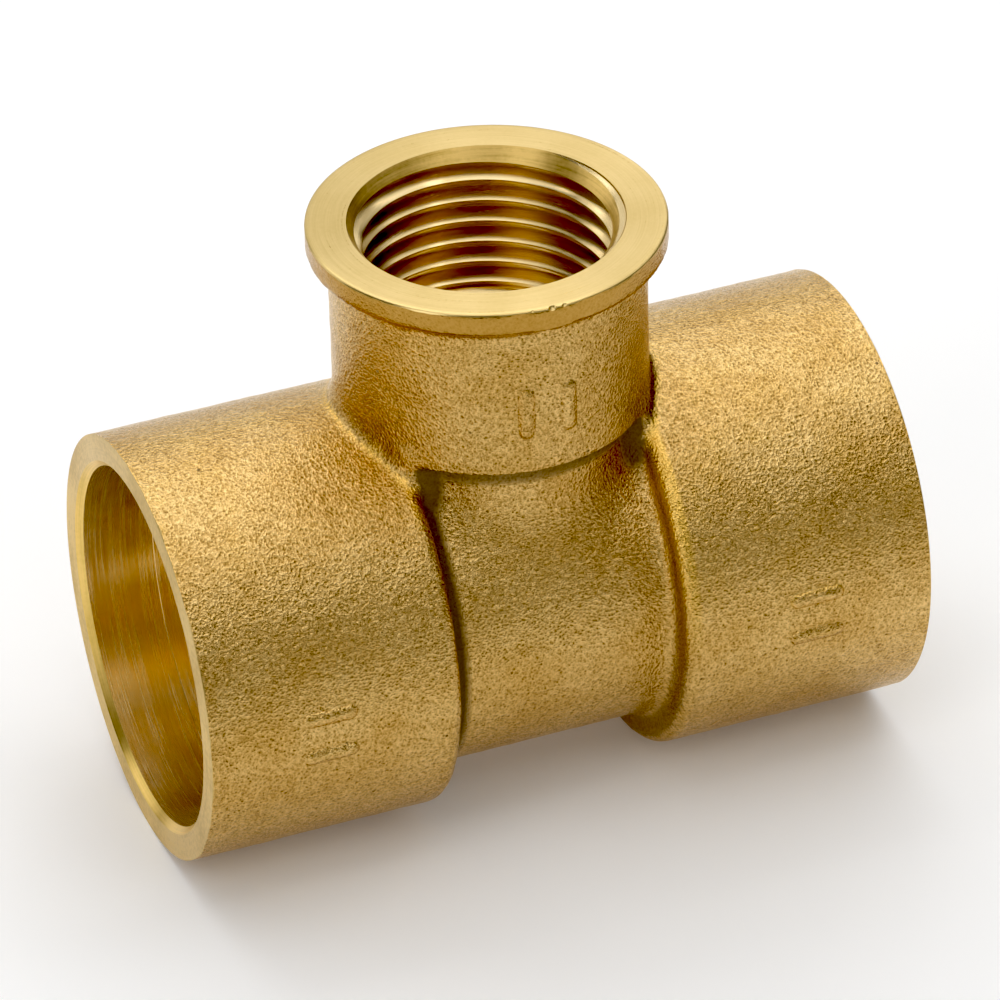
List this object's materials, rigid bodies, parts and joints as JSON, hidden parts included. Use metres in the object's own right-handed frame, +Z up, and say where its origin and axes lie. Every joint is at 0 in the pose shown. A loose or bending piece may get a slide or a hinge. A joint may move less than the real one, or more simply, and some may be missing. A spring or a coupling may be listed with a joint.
{
  "type": "pipe fitting tee",
  "caption": "Cast brass reducing tee with two plain capillary sockets for copper tube in line and an internally threaded flanged branch at right angles.",
  "frame": {"origin": "on the surface that the two sockets lie on, directly under the crossing of the run's axis and the branch's axis, which is 16.6 mm above it", "axes": "X along the run of the two sockets, +Z up the branch, +Y across"},
  "size_m": [0.0582, 0.0335, 0.0476],
  "materials": {
    "cast_brass": "sand-cast skin, satin, with bright machined end faces, bores and thread"
  },
  "bodies": {
    "root": {"tee_body": "cast_brass"}
  },
  "joints": []
}
